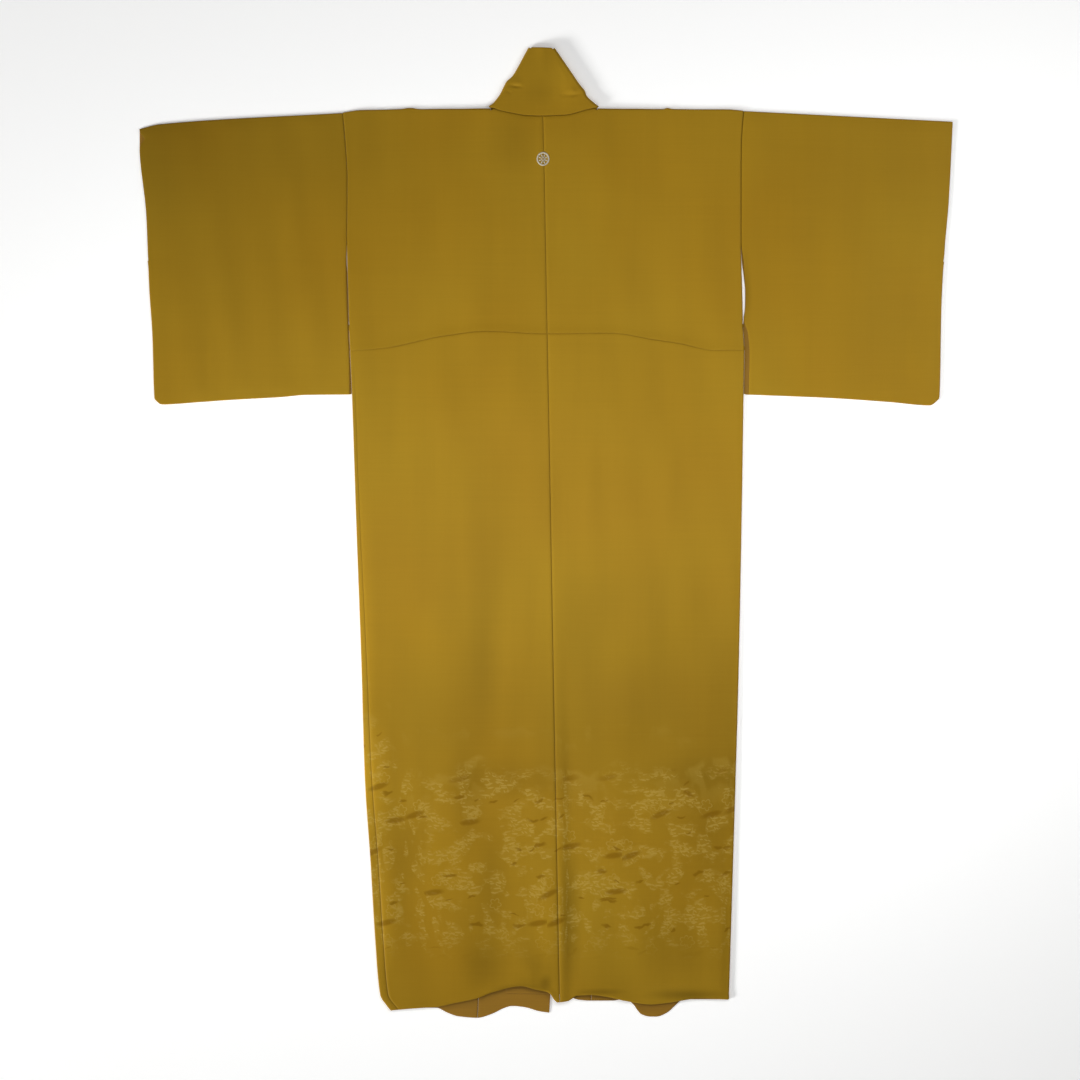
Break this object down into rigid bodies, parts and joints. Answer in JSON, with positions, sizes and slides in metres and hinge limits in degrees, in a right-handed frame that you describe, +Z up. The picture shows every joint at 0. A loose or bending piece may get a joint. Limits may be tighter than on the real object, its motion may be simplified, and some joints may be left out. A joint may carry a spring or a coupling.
{
  "type": "kimono laid flat",
  "caption": "Women's silk kimono laid flat with its back up: wide square sleeves, waist tuck, opened-out collar and a softly waved hem.",
  "frame": {"origin": "on the surface the garment lies on, under the middle of its outline", "axes": "+X to the wearer's right, +Y from the hem to the neck, +Z up, out of the garment's back"},
  "size_m": [1.3423, 1.6016, 0.0118],
  "materials": {
    "silk": "old-gold silk satin crepe with a soft sheen, tone-on-tone figured above the hem"
  },
  "bodies": {
    "root": {"body_left": "silk", "body_right": "silk", "overlap_left": "silk", "overlap_right": "silk", "sleeve_left": "silk", "sleeve_right": "silk", "collar": "silk", "over_collar": "silk"}
  },
  "joints": []
}
